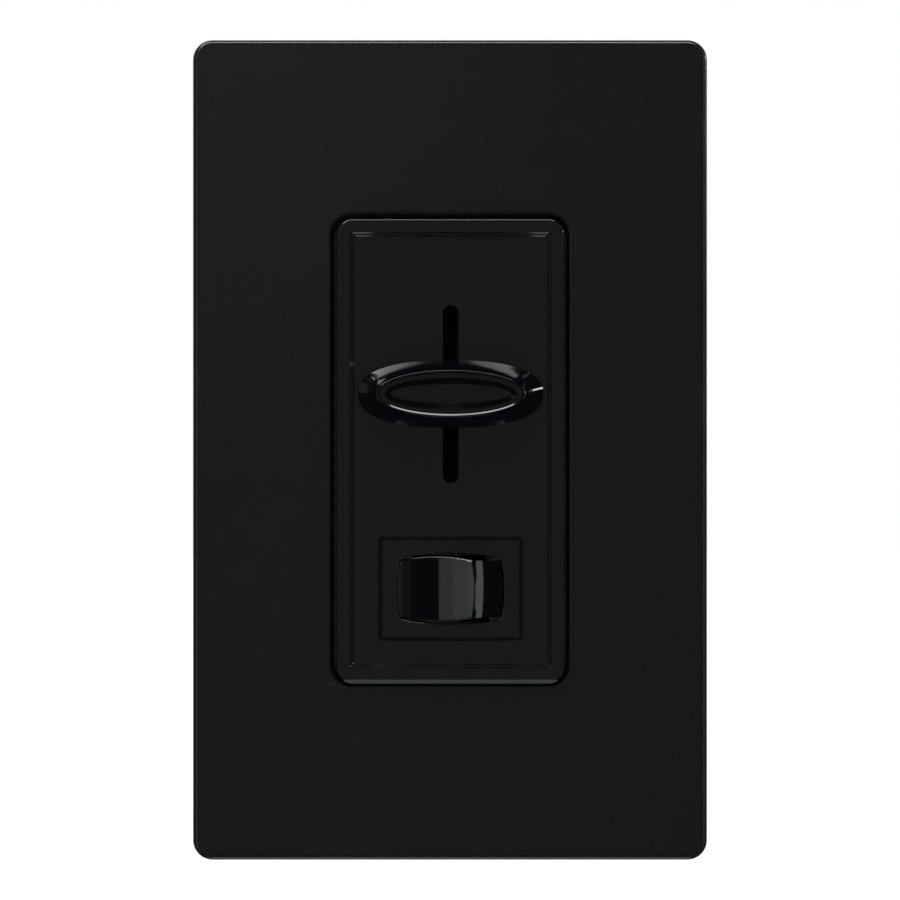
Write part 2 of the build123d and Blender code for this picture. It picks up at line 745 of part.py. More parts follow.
def plunger_tip():
    """How far the plunger reaches from the pivot, to run just clear of the level blade."""
    return blade_pivot_y - blade_thickness / 2 - pivot_y - blade_clearance


def rocker_plunger():
    start = finger_bottom + spring_length
    place = Plane(origin=(0, start, 0), z_dir=(0, 1, 0))
    straight = plunger_tip() - plunger_radius - start
    pin = place * extrude(Circle(plunger_radius), amount=straight)
    pin += Pos(0, start + straight, 0) * Sphere(plunger_radius)
    return tilted(pin, -rocker_tilt)


def on_blade(solid):
    """Put a piece drawn on the level blade at the blade's tilt."""
    return Pos(0, blade_pivot_y, rocker_z) * Rot(0, 0, blade_tilt) * solid


def contact_blade():
    """The see-saw strip that the plunger rocks, with two ears that sit in the cradle."""
    half = blade_length / 2
    blade = brick((-half, half), (-blade_back, blade_back), (-blade_width / 2, blade_width / 2))
    blade = fillet(blade.edges().filter_by(Axis.Y), 0.8)
    ear = blade_width / 2 + cradle_wall + cradle_play
    blade += bar_z(blade_back, -ear, ear, 0, 0)
    return on_blade(blade)


def moving_contact():
    """A domed silver button riveted under the left end of the blade."""
    button = peg(contact_radius, blade_back, blade_back + contact_height, contact_x, 0)
    rim = [edge for edge in button.edges() if edge.center().Y > blade_back + contact_height - 1e-3]
    return on_blade(fillet(rim, contact_height * 0.6))


def contact_cradle():
    """The common strip on the board, with two upright walls that the blade rocks in."""
    base_front = board_front - cradle_base
    inner = blade_width / 2 + cradle_play
    cradle = brick((-1.6, 3.4), (base_front, board_front), (-inner - cradle_wall, inner + cradle_wall))
    for end in (-1, 1):
        middle = end * (inner + cradle_wall / 2)
        wall = brick((-1.6, 1.6), (blade_pivot_y - 0.9, board_front),
                     (middle - cradle_wall / 2, middle + cradle_wall / 2))
        cradle += wall - bar_z(blade_back + pin_play, -inner - 2, inner + 2, 0, blade_pivot_y)
    cradle += brick((2.4, 3.2), (board_front, board_back + 1.2), (-1.0, 1.0))
    return Pos(0, 0, rocker_z) * cradle


def fixed_contact_face():
    """The depth of the fixed contact's face, just clear of the moving one when it is pressed."""
    angle = math.radians(blade_tilt)
    reach = blade_back + contact_height
    outer = abs(contact_x) + contact_radius * 0.5
    return blade_pivot_y + reach * math.cos(angle) + outer * math.sin(angle) + contact_gap


def contact_strip():
    """The brass strip on the board that carries the fixed contact."""
    front = fixed_contact_face() + contact_height
    strip = brick((contact_x - 2.6, contact_x + 1.6), (front, board_front), (-1.8, 1.8))
    strip += brick((contact_x - 2.4, contact_x - 1.6), (board_front, board_back + 1.2), (-1.0, 1.0))
    return Pos(0, 0, rocker_z) * strip


def fixed_contact():
    face = fixed_contact_face()
    return peg(contact_radius, face, face + contact_height, contact_x, rocker_z)


# ---- housing, sheet and board ------------------------------------------------------------------
def post_places():
    """The four corners where the housing is riveted to the yoke."""
    return [(side * post_x, end * post_z) for side in (-1, 1) for end in (-1, 1)]


def terminal_places():
    """The middle of each wire terminal, on the side at positive X."""
    return [end * terminal_pitch / 2 for end in (1, -1)]


def back_housing():
    box = slab(housing_width, housing_height, 0, housing_back, corner=housing_corner)
    rear = box.faces().sort_by(Axis.Y)[-1]
    box = fillet(rear.edges(), 1.2)
    inner_width = housing_width - 2 * housing_wall
    inner_height = housing_height - 2 * housing_wall
    hollow = slab(inner_width, inner_height, 0, housing_floor, corner=housing_corner - housing_wall)
    for x, z in post_places():
        hollow -= peg(post_radius, 0, housing_floor, x, z)
    for side in (-1, 1):
        for end in (-1, 1):
            x = side * (inner_width / 2 - rib_depth / 2)
            hollow -= slab(rib_depth, rib_width, board_back, housing_floor, x, end * rib_pitch / 2)
    outer = housing_width / 2
    pocket_inner = outer - terminal_pocket_depth
    wall_inner = pocket_inner - housing_wall * 0.75
    start, end = terminal_pocket_start, terminal_pocket_start + terminal_pocket_length
    half = terminal_pocket_height / 2
    for z in terminal_places():
        hollow -= brick((wall_inner, outer), (start - housing_wall * 0.75, end + housing_wall * 0.75),
                        (z - half - housing_wall * 0.75, z + half + housing_wall * 0.75))
    box -= hollow
    for z in terminal_places():
        box -= brick((pocket_inner, outer), (start, end), (z - half, z + half))
        box -= bar_x(terminal_screw_radius, wall_inner, pocket_inner, terminal_screw_y(), z)
        box -= brick((pocket_inner, pocket_inner + terminal_thickness), (start - housing_wall, start),
                     (z - tail_width / 2, z + tail_width / 2))
    for x, z in post_places():
        box -= peg(rivet_radius, 0, housing_back, x, z)
    for row in range(vent_count):
        z = (row - (vent_count - 1) / 2) * vent_pitch
        box -= slab(vent_length, vent_width, housing_floor, housing_back, 0, z, corner=vent_width / 2 - 0.01)
    return box


def housing_rivets():
    """Tubular rivets, flush in the yoke and rolled over behind the housing."""
    rivets = []
    for x, z in post_places():
        rivet = peg(rivet_radius, yoke_front, housing_back, x, z)
        rivet += cone(rivet_head_radius, rivet_radius, yoke_front, yoke_front + countersink_depth, x, z)
        head = peg(rivet_head_radius, housing_back, housing_back + rivet_head_height, x, z)
        rolled = [edge for edge in head.edges() if edge.center().Y > housing_back + rivet_head_height - 1e-3]
        rivet += fillet(rolled, rivet_head_height * 0.5)
        hollow = peg(rivet_radius * 0.55, housing_back - 3, housing_back + rivet_head_height, x, z)
        rivets.append(rivet - hollow)
    return rivets


def yoke_insulator():
    """A sheet of black fibre between the live parts and the earthed yoke."""
    width = housing_width - 2 * housing_wall - 2 * insulator_play
    height = 2 * (post_z - post_radius - insulator_play)
    sheet = slab(width, height, 0, insulator_thickness)
    sheet -= front_windows(0, insulator_thickness, insulator_play)
    room = 0.8
    return sheet - slab(triac_width + 2 * room, triac_tab_height + 2 * room, 0, insulator_thickness,
                        triac_x, triac_middle_z())


def circuit_board():
    board = slab(board_width, board_height, board_front, board_back, corner=0.6)
    for z in terminal_places():
        x = housing_width / 2 - terminal_pocket_depth + terminal_thickness / 2
        slot_across = terminal_thickness + 2 * tail_play
        board -= slab(slot_across, tail_width + 2 * tail_play, board_front, board_back, x, z)
    for leads in (pot_pins, triac_legs, choke_leads, capacitor_leads, axial_leads):
        for lead in leads():
            board -= lead
    return board - contact_cradle() - contact_strip()


# ---- terminals ---------------------------------------------------------------------------------
def terminal_screw_y():
    return terminal_pocket_start + terminal_pocket_length / 2


def terminal_plate(z):
    """A brass plate in its pocket, with a tail through the housing to the board."""
    inner = housing_width / 2 - terminal_pocket_depth
    outer = inner + terminal_thickness
    start, end = terminal_pocket_start, terminal_pocket_start + terminal_pocket_length
    half = terminal_pocket_height / 2 - 0.4
    plate = brick((inner, outer), (start, end - 0.4), (z - half, z + half))
    plate += brick((inner, outer), (board_front - 0.6, start), (z - tail_width / 2, z + tail_width / 2))
    return plate - bar_x(terminal_screw_radius, inner, outer, terminal_screw_y(), z)


def line_terminal():
    return terminal_plate(terminal_places()[0])


def load_terminal():
    return terminal_plate(terminal_places()[1])


def clamp_start():
    """Where the clamp stands off the terminal plate, with room for a wire between them."""
    return housing_width / 2 - terminal_pocket_depth + terminal_thickness + wire_room


def wire_clamps():
    """Square pressure plates, each with its corners rounded, under the heads of the screws."""
    clamps = []
    start = clamp_start()
    end = start + clamp_thickness
    middle = terminal_screw_y()
    for z in terminal_places():
        clamp = brick((start, end), (middle - clamp_size / 2, middle + clamp_size / 2),
                      (z - clamp_size / 2, z + clamp_size / 2))
        clamp = fillet(clamp.edges().filter_by(Axis.X), 0.8)
        clamps.append(clamp - bar_x(terminal_screw_radius, start, end, middle, z))
    return clamps


def terminal_screws():
    screws = []
    seat = clamp_start() + clamp_thickness
    inner_end = housing_width / 2 - terminal_pocket_depth - housing_wall * 0.75
    for z in terminal_places():
        y = terminal_screw_y()
        head = bar_x(terminal_head_radius, seat, seat + terminal_head_height, y, z)
        head = fillet(head.faces().sort_by(Axis.X)[-1].edges(), 0.7)
        outer = seat + terminal_head_height
        slot_floor = outer - terminal_head_height * 0.45
        half_slot = driver_slot_width / 2
        head -= brick((slot_floor, outer), (y - terminal_head_radius, y + terminal_head_radius),
                      (z - half_slot, z + half_slot))
        head -= brick((slot_floor, outer), (y - half_slot, y + half_slot), (z - 2.2, z + 2.2))
        screws.append(head + bar_x(terminal_screw_radius, inner_end, seat, y, z))
    return screws


# ---- power parts and components ----------------------------------------------------------------
def triac_hole_z():
    return triac_z + triac_body_height / 2 + 3.4


def triac_pad():
    pad = slab(triac_width + 1.0, triac_tab_height + 1.0, 0, triac_pad_thickness, triac_x, triac_middle_z())
    return pad - peg(rivet_radius, 0, triac_pad_thickness, triac_x, triac_hole_z())


def triac_middle_z():
    return triac_z - triac_body_height / 2 + triac_tab_height / 2


def triac_tab():
    """The copper tab that the triac is mounted by."""
    front = triac_pad_thickness
    tab = slab(triac_width, triac_tab_height, front, front + triac_tab_thickness, triac_x, triac_middle_z(),
               corner=0.4)
    tab -= peg(rivet_radius, front, front + triac_tab_thickness, triac_x, triac_hole_z())
    return tab


def triac_body():
    front = triac_pad_thickness + triac_tab_thickness
    body = slab(triac_width, triac_body_height, front, triac_pad_thickness + triac_depth, triac_x, triac_z)
    back = [edge for edge in body.edges() if edge.center().Y > triac_pad_thickness + triac_depth - 1e-3]
    return chamfer(back, 0.4)


def triac_legs():
    """Three legs, out of the body's foot and bent back through the board."""
    legs = []
    top = triac_z - triac_body_height / 2
    front = triac_pad_thickness + triac_tab_thickness + 0.8
    for column in (-1, 0, 1):
        x = triac_x + column * triac_lead_pitch
        across = (x - triac_lead_width / 2, x + triac_lead_width / 2)
        bend = top - triac_lead_run
        run = brick(across, (front, front + triac_lead_thickness), (bend, top))
        drop = brick(across, (front, board_back + pin_reach), (bend - triac_lead_thickness, bend))
        legs.append(run + drop)
    return legs


def triac_rivet():
    """The rivet that holds the triac's tab to the yoke."""
    tab_back = triac_pad_thickness + triac_tab_thickness
    x, z = triac_x, triac_hole_z()
    rivet = peg(rivet_radius, yoke_front, tab_back, x, z)
    rivet += cone(rivet_head_radius, rivet_radius, yoke_front, yoke_front + countersink_depth, x, z)
    return rivet + peg(rivet_head_radius, tab_back, tab_back + rivet_head_height, x, z)


def choke_core():
    ring = peg(choke_outer, choke_front, choke_front + choke_depth, choke_x, choke_z)
    ring -= peg(choke_inner, choke_front, choke_front + choke_depth, choke_x, choke_z)
    return fillet(ring.edges().filter_by(GeomType.CIRCLE), 0.8)


def choke_winding():
    """Turns of enamelled wire round the ring, with a gap left between the two ends."""
    turns = []
    middle = (choke_outer + choke_inner) / 2
    across = choke_outer - choke_inner + 2 * choke_slack
    deep = choke_depth + 2 * choke_slack
    for turn in range(choke_turns):
        angle = choke_gap_angle + turn * (360 - 2 * choke_gap_angle) / (choke_turns - 1)
        loop = Box(across + 2 * choke_wire, choke_wire, deep + 2 * choke_wire)
        loop = fillet(loop.edges().filter_by(Axis.Y), choke_wire)
        loop -= Box(across, choke_wire, deep)
        place = facing(choke_front + choke_depth / 2) * Pos(choke_x, choke_z)
        turns.append(place * (Rot(0, 0, angle) * Pos(middle, 0, 0) * loop))
    return turns


def choke_leads():
    """The two ends of the winding, down to the board beside the ring."""
    leads = []
    for end in (-1, 1):
        angle = math.radians(end * choke_gap_angle)
        reach = (choke_outer + choke_inner) / 2
        x = choke_x + reach * math.cos(angle)
        z = choke_z + reach * math.sin(angle)
        leads.append(peg(choke_wire / 2, board_front, choke_front - choke_slack - choke_wire, x, z))
    return leads


def boxed_part(size, x, z):
    """A box-shaped film capacitor standing on the back of the board."""
    width, depth, height = size
    start = board_back + component_lift
    body = slab(width, height, start, start + depth, x, z)
    return fillet(body.edges(), 0.4)


def filter_capacitor():
    return boxed_part(capacitor_size, *capacitor_place)


def timing_capacitors():
    return [boxed_part(small_capacitor_size, x, z) for x, z in small_capacitor_places]


def capacitor_leads():
    places = [(capacitor_size[0] / 2 - 2.0, capacitor_place)]
    places += [(small_capacitor_size[0] / 2 - 1.2, place) for place in small_capacitor_places]
    leads = []
    for reach, (x, z) in places:
        for side in (-1, 1):
            leads.append(peg(lead_radius, board_front, board_back + component_lift, x + side * reach, z))
    return leads


def axial_body(length, radius, x, z, waist):
    """A small round part that lies along X on the back of the board."""
    y = board_back + component_lift + radius
    body = bar_x(radius, x - length / 2, x + length / 2, y, z)
    body = fillet(body.edges().filter_by(GeomType.CIRCLE), radius * 0.45)
    if waist:
        body = body - (bar_x(radius + 1, x - length / 5, x + length / 5, y, z)
                       - bar_x(radius - waist, x - length / 5, x + length / 5, y, z))
    return body


def resistors():
    return [axial_body(resistor_length, resistor_radius, x, z, 0.18) for x, z in resistor_places]


def diac():
    return axial_body(diac_length, diac_radius, *diac_place, 0)


def axial_leads():
    """Bent wires at both ends of the resistors and the diac."""
    wires = []
    parts = [(resistor_length, resistor_radius, place) for place in resistor_places]
    parts.append((diac_length, diac_radius, diac_place))
    for length, radius, (x, z) in parts:
        y = board_back + component_lift + radius
        for side in (-1, 1):
            near = x + side * length / 2
            far = near + side * lead_bend
            path = FilletPolyline((near, y, z), (far, y, z), (far, board_front, z), radius=0.5)
            wires.append(sweep(Plane(origin=path @ 0, z_dir=path % 0) * Circle(lead_radius), path=path))
    return wires


# ---- every piece, by the name of its node ------------------------------------------------------
PIECES = [
    wallplate, adapter_plate, adapter_screws, yoke, box_screws, screw_retainers, ground_screw, bezel,
    slider_knob, pot_case, pot_track, pot_lever, pot_wiper, pot_pins, rocker, rocker_spring,
    rocker_plunger, contact_blade, moving_contact, contact_cradle, contact_strip, fixed_contact,
    back_housing, housing_rivets, yoke_insulator, circuit_board, line_terminal, load_terminal,
    wire_clamps, terminal_screws, triac_pad, triac_tab, triac_body, triac_legs, triac_rivet,
    choke_core, choke_winding, choke_leads, filter_capacitor, timing_capacitors, capacitor_leads,
    resistors, diac, axial_leads,
]

os.makedirs("parts", exist_ok=True)
for make_piece in PIECES:
    piece = make_piece()
    if isinstance(piece, list):
        piece = Compound(children=piece)
    export_step(piece, f"parts/{make_piece.__name__}.step")
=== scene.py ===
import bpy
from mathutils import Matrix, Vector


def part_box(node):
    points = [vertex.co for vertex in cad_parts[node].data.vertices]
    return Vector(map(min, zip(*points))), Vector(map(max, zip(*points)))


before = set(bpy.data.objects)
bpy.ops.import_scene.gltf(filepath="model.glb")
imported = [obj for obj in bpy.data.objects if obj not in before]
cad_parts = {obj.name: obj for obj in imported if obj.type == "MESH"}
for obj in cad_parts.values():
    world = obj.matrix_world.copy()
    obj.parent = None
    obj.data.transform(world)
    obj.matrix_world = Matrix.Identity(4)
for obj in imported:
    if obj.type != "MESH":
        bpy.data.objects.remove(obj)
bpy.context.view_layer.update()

import math

import bpy
from mathutils import Vector

# ---- the view ----------------------------------------------------------------------------------
PLATE_LOW, PLATE_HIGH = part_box("wallplate")
PLATE_SHARE = 0.912  # of the picture's height, which the plate fills
LENS = 135.0
SENSOR = 36.0
CENTRE = Vector(((PLATE_LOW.x + PLATE_HIGH.x) / 2, PLATE_LOW.y, (PLATE_LOW.z + PLATE_HIGH.z) / 2))
FLOOR_DROP = 0.30  # below the middle of the plate, which hangs on a wall and stands on nothing
FLOOR_AHEAD = 0.45
FLOOR_BEHIND = 9.0
FLOOR_HALF_WIDTH = 5.0
ROOM_FRONT = 0.02  # how bright the room is in front of the device
ROOM_BEHIND = 0.9


def link(obj):
    bpy.context.scene.collection.objects.link(obj)
    return obj


def make_camera():
    """A long lens looking straight at the plate, along +Y."""
    data = bpy.data.cameras.new("camera")
    data.lens = LENS
    data.sensor_width = SENSOR
    distance = (PLATE_HIGH.z - PLATE_LOW.z) / PLATE_SHARE * LENS / SENSOR
    camera = link(bpy.data.objects.new("camera", data))
    camera.location = CENTRE - Vector((0, distance, 0))
    camera.rotation_euler = (math.pi / 2, 0, 0)
    bpy.context.scene.camera = camera


# ---- materials ---------------------------------------------------------------------------------
WAVE_SCALE = 0.314  # of a wave texture whose bands are one unit apart


class Look:
    """A procedural material in the making: one Principled shader and the nodes that feed it."""

    def __init__(self, name, roughness=0.5, metallic=0.0):
        self.material = bpy.data.materials.new(name)
        self.material.use_nodes = True
        self.nodes = self.material.node_tree.nodes
        self.links = self.material.node_tree.links
        self.shader = self.nodes["Principled BSDF"]
        self.shader.inputs["Roughness"].default_value = roughness
        self.shader.inputs["Metallic"].default_value = metallic
        place = self.nodes.new("ShaderNodeTexCoord")
        self.place = place.outputs["Object"]
        self.normal = None

    def stretched(self, stretch):
        """Object coordinates, in metres, stretched along an axis for drawn or brushed grain."""
        mapping = self.nodes.new("ShaderNodeMapping")
        mapping.inputs["Scale"].default_value = stretch
        self.links.new(self.place, mapping.inputs["Vector"])
        return mapping.outputs["Vector"]

    def noise(self, size, detail=3.0, stretch=(1, 1, 1), roughness=0.5):
        """Cloudy noise whose lumps are about this many metres across."""
        node = self.nodes.new("ShaderNodeTexNoise")
        node.inputs["Scale"].default_value = 1 / size
        node.inputs["Detail"].default_value = detail
        node.inputs["Roughness"].default_value = roughness
        self.links.new(self.stretched(stretch), node.inputs["Vector"])
        return node.outputs["Fac"]

    def cells(self, size, stretch=(1, 1, 1)):
        """Distance to the nearest of many scattered points, for pebbled or spark-eroded grain."""
        node = self.nodes.new("ShaderNodeTexVoronoi")
        node.feature = "SMOOTH_F1"
        node.inputs["Scale"].default_value = 1 / size
        self.links.new(self.stretched(stretch), node.inputs["Vector"])
        return node.outputs["Distance"]

    def waves(self, size, direction):
        """Parallel bands this many metres apart."""
        node = self.nodes.new("ShaderNodeTexWave")
        node.bands_direction = direction
        node.inputs["Scale"].default_value = WAVE_SCALE / size
        node.inputs["Distortion"].default_value = 0.0
        self.links.new(self.place, node.inputs["Vector"])
        return node.outputs["Fac"]

    def ramp(self, factor, low, high, start=0.35, end=0.65):
        """Two colours mixed by a factor, from its start value to its end value."""
        node = self.nodes.new("ShaderNodeValToRGB")
        node.color_ramp.elements[0].position = start
        node.color_ramp.elements[0].color = (*low, 1)
        node.color_ramp.elements[1].position = end
        node.color_ramp.elements[1].color = (*high, 1)
        self.links.new(factor, node.inputs["Fac"])
        return node.outputs["Color"]

    def spread(self, factor, low, high, start=0.3, end=0.7):
        """A factor stretched to run between two values."""
        node = self.nodes.new("ShaderNodeMapRange")
        node.inputs["From Min"].default_value = start
        node.inputs["From Max"].default_value = end
        node.inputs["To Min"].default_value = low
        node.inputs["To Max"].default_value = high
        self.links.new(factor, node.inputs["Value"])
        return node.outputs["Result"]

    def mix(self, factor, first, second):
        """One colour laid over another by a factor."""
        node = self.nodes.new("ShaderNodeMix")
        node.data_type = "RGBA"
        self.links.new(factor, node.inputs["Factor"])
        self.links.new(first, node.inputs["A"])
        self.links.new(second, node.inputs["B"])
        return node.outputs["Result"]

    def colour(self, source):
        self.links.new(source, self.shader.inputs["Base Color"])

    def rough(self, source):
        self.links.new(source, self.shader.inputs["Roughness"])

    def bump(self, height, depth):
        """Relief this many metres deep, laid over any relief already there."""
        node = self.nodes.new("ShaderNodeBump")
        node.inputs["Distance"].default_value = depth
        node.inputs["Strength"].default_value = 1.0
        self.links.new(height, node.inputs["Height"])
        if self.normal is not None:
            self.links.new(self.normal, node.inputs["Normal"])
        self.normal = node.outputs["Normal"]
        self.links.new(self.normal, self.shader.inputs["Normal"])


def darker(colour, share):
    return tuple(channel * share for channel in colour)


def plastic(name, colour, roughness, flow=0.00002, grain=0.0, grain_size=0.0004, spread=0.15):
    """A moulded plastic: faint flow ripples, uneven gloss and, if wanted, a spark-eroded grain."""
    look = Look(name, roughness)
    cloud = look.noise(0.012, 4)
    look.colour(look.ramp(cloud, darker(colour, 0.9), colour))
    look.rough(look.spread(look.noise(0.003, 5), roughness * (1 - spread), roughness * (1 + spread)))
    if flow:
        look.bump(look.noise(0.02, 1), flow)
    if grain:
        look.bump(look.cells(grain_size), grain)
        look.bump(look.noise(grain_size * 0.6, 2), grain * 0.6)
    return look.material


def metal(name, colour, roughness, stretch=(1, 1, 1), scratch=0.000004, patch=0.85, dull=0.0):
    """A bare or plated metal with drawn or brushed lines along one axis and faint patches."""
    look = Look(name, roughness, 1.0)
    patches = look.noise(0.006, 5)
    look.colour(look.ramp(patches, darker(colour, patch), colour))
    lines = look.noise(0.0006, 4, stretch)
    look.rough(look.spread(lines, roughness * 0.7 + dull, roughness * 1.35 + dull))
    look.bump(lines, scratch)
    return look.material


def rippled_laminate(name):
    """Glass-epoxy board under green solder mask, with the weave showing faintly."""
    look = Look(name, 0.35)
    base, light = (0.012, 0.075, 0.022), (0.03, 0.13, 0.045)
    look.colour(look.ramp(look.noise(0.004, 3), base, light))
    look.rough(look.spread(look.noise(0.001, 3), 0.28, 0.45))
    look.bump(look.waves(0.0007, "X"), 0.000012)
    look.bump(look.waves(0.0007, "Z"), 0.000012)
    return look.material


def fibre(name, colour, roughness=0.85):
    """Pressed fibre: short flecks over a matt ground."""
    look = Look(name, roughness)
    flecks = look.noise(0.0005, 6, (1, 1, 0.35), 0.7)
    look.colour(look.ramp(flecks, darker(colour, 0.6), colour))
    look.rough(look.spread(flecks, roughness * 0.85, min(1.0, roughness * 1.1)))
    look.bump(flecks, 0.00004)
    return look.material


def enamel(name, colour, roughness=0.22):
    """Varnished copper wire, deeper in colour where the varnish pools."""
    look = Look(name, roughness, 0.75)
    pools = look.noise(0.002, 4)
    look.colour(look.ramp(pools, darker(colour, 0.55), colour))
    look.rough(look.spread(pools, roughness * 0.7, roughness * 1.5))
    look.bump(look.noise(0.0008, 2), 0.00001)
    return look.material


def banded(name, body, bands):
    """A dipped resistor body with coloured rings along X."""
    look = Look(name, 0.4)
    ground = look.ramp(look.noise(0.001, 4), darker(body, 0.8), body)
    rings = look.waves(0.0016, "X")
    paint = look.ramp(look.noise(0.004, 0), bands[0], bands[1], 0.48, 0.52)
    look.colour(look.mix(look.spread(rings, 0, 1, 0.72, 0.78), ground, paint))
    look.rough(look.spread(look.noise(0.0008, 3), 0.3, 0.5))
    look.bump(look.noise(0.001, 3), 0.00002)
    return look.material


def glass(name, colour):
    """A sealed glass bead with a dark band."""
    look = Look(name, 0.08)
    ring = look.waves(0.0042, "X")
    ground = look.ramp(look.noise(0.002), darker(colour, 0.8), colour)
    paint = look.ramp(look.noise(0.001), (0.01, 0.01, 0.012), (0.02, 0.02, 0.024))
    look.colour(look.mix(look.spread(ring, 0, 1, 0.8, 0.85), ground, paint))
    look.shader.inputs["Transmission Weight"].default_value = 0.4
    look.rough(look.spread(look.noise(0.001), 0.05, 0.12))
    return look.material


BLACK = (0.0052, 0.0053, 0.0058)
GLOSS_BLACK = (0.0036, 0.0037, 0.0041)
CONTROL_BLACK = (0.0020, 0.0021, 0.0026)

LOOKS = {
    "plate": plastic("plate", BLACK, 0.27, flow=0.000010, grain=0.0000006, grain_size=0.0003),
    "bezel": plastic("bezel_gloss", GLOSS_BLACK, 0.11, flow=0.000006, spread=0.25),
    "control": plastic("control_gloss", CONTROL_BLACK, 0.05, flow=0.000003, spread=0.3),
    "adapter": plastic("adapter", (0.012, 0.012, 0.013), 0.55, grain=0.000012),
    "housing": plastic("housing", (0.014, 0.014, 0.015), 0.52, flow=0.00003, grain=0.000022, grain_size=0.0005),
    "yoke": metal("yoke", (0.66, 0.67, 0.69), 0.36, (1, 1, 0.06)),
    "zinc": metal("zinc", (0.60, 0.60, 0.58), 0.30, (1, 0.1, 1), patch=0.7),
    "green": metal("green", (0.02, 0.20, 0.06), 0.34, (0.2, 1, 1), patch=0.6),
    "rivet": metal("rivet", (0.56, 0.56, 0.55), 0.34, (1, 0.2, 1), patch=0.75),
    "brass": metal("brass", (0.71, 0.50, 0.20), 0.30, (1, 0.15, 1), patch=0.72),
    "bronze": metal("bronze", (0.60, 0.38, 0.19), 0.28, (0.2, 1, 1), patch=0.7),
    "silver": metal("silver", (0.80, 0.79, 0.76), 0.25, patch=0.75),
    "tinned": metal("tinned", (0.68, 0.68, 0.67), 0.30, patch=0.7, dull=0.05),
    "spring": metal("spring", (0.42, 0.42, 0.43), 0.28, (1, 0.3, 1)),
    # The pot case and its lever are black, and their colour is kept this dark as painted shade, so the deep
    # slot in front of them reads dark.
    "lacquer_painted_slot_shade": plastic("lacquer_painted_slot_shade", (0.006, 0.006, 0.007), 0.42, grain=0.000006),
    "lever": plastic("lever", (0.010, 0.010, 0.011), 0.45, grain=0.000005),
    "phenolic": fibre("phenolic", (0.16, 0.075, 0.03), 0.55),
    "natural": plastic("natural", (0.62, 0.60, 0.54), 0.42, grain=0.000005),
    "washer": fibre("washer", (0.58, 0.47, 0.30)),
    "sheet": fibre("sheet", (0.012, 0.012, 0.012), 0.7),
    "board": rippled_laminate("board"),
    "epoxy": plastic("epoxy", (0.010, 0.010, 0.011), 0.6, grain=0.00001, grain_size=0.0003),
    "mica": fibre("mica", (0.50, 0.45, 0.36), 0.4),
    "core": plastic("core", (0.62, 0.52, 0.05), 0.45, grain=0.00001, grain_size=0.0008),
    "enamel": enamel("enamel", (0.55, 0.20, 0.06)),
    "film": plastic("film", (0.05, 0.11, 0.34), 0.25, flow=0.00003),
    "resistor": banded("resistor", (0.50, 0.36, 0.19), ((0.30, 0.02, 0.01), (0.06, 0.03, 0.30))),
    "bead": glass("bead", (0.15, 0.30, 0.55)),
}

NODE_LOOKS = {
    "wallplate": "plate", "bezel": "bezel", "slider_knob": "control", "rocker": "control",
    "adapter_plate": "adapter", "adapter_screws": "zinc", "yoke": "yoke", "box_screws": "zinc",
    "screw_retainers": "washer", "ground_screw": "green", "pot_case": "lacquer_painted_slot_shade", "pot_track": "phenolic",
    "pot_lever": "lever", "pot_wiper": "bronze", "pot_pins": "tinned", "rocker_spring": "spring",
    "rocker_plunger": "natural", "contact_blade": "bronze", "moving_contact": "silver",
    "contact_cradle": "brass", "contact_strip": "brass", "fixed_contact": "silver",
    "back_housing": "housing", "housing_rivets": "rivet", "yoke_insulator": "sheet",
    "circuit_board": "board", "line_terminal": "brass", "load_terminal": "brass", "wire_clamps": "zinc",
    "terminal_screws": "brass", "triac_pad": "mica", "triac_tab": "tinned", "triac_body": "epoxy",
    "triac_legs": "tinned", "triac_rivet": "rivet", "choke_core": "core", "choke_winding": "enamel",
    "choke_leads": "enamel", "filter_capacitor": "film", "timing_capacitors": "film",
    "capacitor_leads": "tinned", "resistors": "resistor", "diac": "bead", "axial_leads": "tinned",
}


def dress(names):
    """Give each CAD piece its material."""
    for name, look in names.items():
        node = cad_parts[name]
        node.data.materials.clear()
        node.data.materials.append(LOOKS[look])


# ---- light and floor ---------------------------------------------------------------------------
def direction(azimuth, elevation):
    """Out from the plate: azimuth is to the right of the camera and elevation is up, in degrees."""
    across, up = math.radians(azimuth), math.radians(elevation)
    return Vector((math.sin(across) * math.cos(up), -math.cos(across) * math.cos(up), math.sin(up)))


def softbox(name, azimuth, elevation, width, height, radiance, colour=(1, 1, 1), distance=1.2):
    """A rectangular light that faces the plate and spans these angles, in degrees, as seen from it."""
    data = bpy.data.lights.new(name, "AREA")
    data.shape = "RECTANGLE"
    data.size = 2 * distance * math.tan(math.radians(width / 2))
    data.size_y = 2 * distance * math.tan(math.radians(height / 2))
    data.energy = radiance * math.pi * data.size * data.size_y
    data.color = colour
    lamp = link(bpy.data.objects.new(name, data))
    lamp.location = CENTRE + direction(azimuth, elevation) * distance
    lamp.rotation_euler = (CENTRE - lamp.location).to_track_quat("-Z", "Y").to_euler()
    lamp.visible_camera = False
    return lamp


def make_lights():
    softbox("front_fill", -1, 3, 17, 34, 0.16)
    softbox("front_soft_edge", -11, 4, 5, 30, 0.08)
    softbox("front_upper_left", -9, 14, 13, 13, 0.32, (0.93, 0.97, 1.0))
    softbox("left_near", -30.5, 0, 7, 60, 0.60, (1.0, 1.0, 0.93))
    softbox("left_middle", -37.5, 0, 7, 60, 0.75, (0.98, 1.0, 0.96))
    softbox("left_far", -45.5, 0, 9, 60, 0.92, (0.96, 1.0, 0.99))
    softbox("right_strip", 46.5, 5, 10, 60, 1.5, (0.96, 1.0, 1.0))
    softbox("overhead", -18, 70, 60, 14, 10.0)
    softbox("corner_glint", -45, 45, 12, 12, 15.0)
    softbox("right_kicker", 92, 16, 28, 6, 12.0, (0.94, 0.97, 1.0))
    softbox("left_kicker", -98, 20, 30, 30, 0.2, (0.96, 1.0, 0.96))
    softbox("under_box", 0, -85, 30, 32, 1.6, (0.94, 1.0, 1.0), distance=0.27)


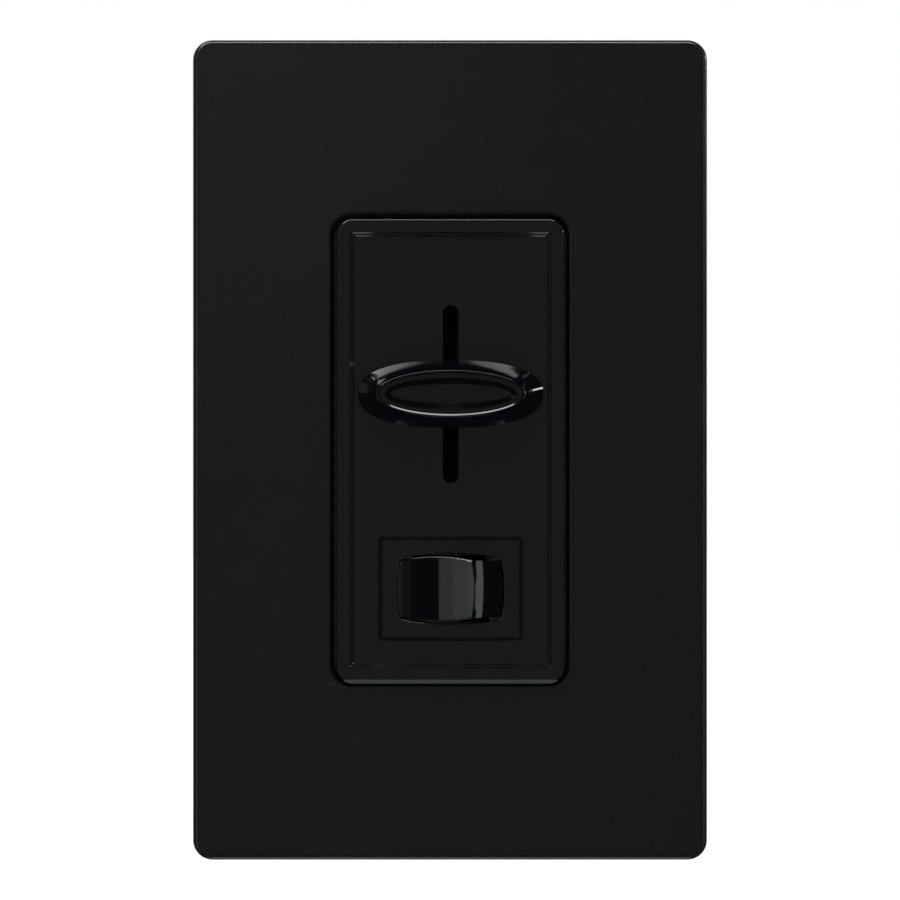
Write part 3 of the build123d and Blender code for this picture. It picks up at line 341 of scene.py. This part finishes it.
def make_world():
    """A white studio: white behind the device and for the camera, dim in front of it."""
    world = bpy.data.worlds.new("world")
    bpy.context.scene.world = world
    world.use_nodes = True
    nodes, links = world.node_tree.nodes, world.node_tree.links
    nodes.clear()
    out = nodes.new("ShaderNodeOutputWorld")
    mix = nodes.new("ShaderNodeMixShader")
    path = nodes.new("ShaderNodeLightPath")
    seen = nodes.new("ShaderNodeBackground")
    seen.inputs["Color"].default_value = (1, 1, 1, 1)
    room = nodes.new("ShaderNodeBackground")
    place = nodes.new("ShaderNodeTexCoord")
    parts = nodes.new("ShaderNodeSeparateXYZ")
    behind = nodes.new("ShaderNodeMapRange")
    behind.interpolation_type = "SMOOTHSTEP"
    behind.inputs["From Min"].default_value = 0.15
    behind.inputs["From Max"].default_value = 0.75
    behind.inputs["To Min"].default_value = ROOM_FRONT
    behind.inputs["To Max"].default_value = ROOM_BEHIND
    links.new(place.outputs["Generated"], parts.inputs["Vector"])
    links.new(parts.outputs["Y"], behind.inputs["Value"])
    links.new(behind.outputs["Result"], room.inputs["Strength"])
    links.new(path.outputs["Is Camera Ray"], mix.inputs["Fac"])
    links.new(room.outputs[0], mix.inputs[1])
    links.new(seen.outputs[0], mix.inputs[2])
    links.new(mix.outputs[0], out.inputs["Surface"])


def make_floor():
    """A pale floor well below. Gloss does not mirror it, so edges that face down mirror the lower light."""
    front, back, half_width = CENTRE.y - FLOOR_AHEAD, CENTRE.y + FLOOR_BEHIND, FLOOR_HALF_WIDTH
    level = CENTRE.z - FLOOR_DROP
    mesh = bpy.data.meshes.new("floor")
    corners = [(-half_width, front, level), (half_width, front, level), (half_width, back, level),
               (-half_width, back, level)]
    mesh.from_pydata(corners, [], [(0, 1, 2, 3)])
    floor = link(bpy.data.objects.new("floor", mesh))
    look = Look("floor_paper", 0.9)
    look.colour(look.ramp(look.noise(0.05, 3), (0.86, 0.86, 0.86), (0.9, 0.9, 0.9)))
    look.shader.inputs["Emission Color"].default_value = (1, 1, 1, 1)
    look.shader.inputs["Emission Strength"].default_value = 0.95
    mesh.materials.append(look.material)
    floor.visible_glossy = False


make_camera()
dress(NODE_LOOKS)
make_lights()
make_world()
make_floor()
bpy.context.scene.view_settings.view_transform = "Standard"
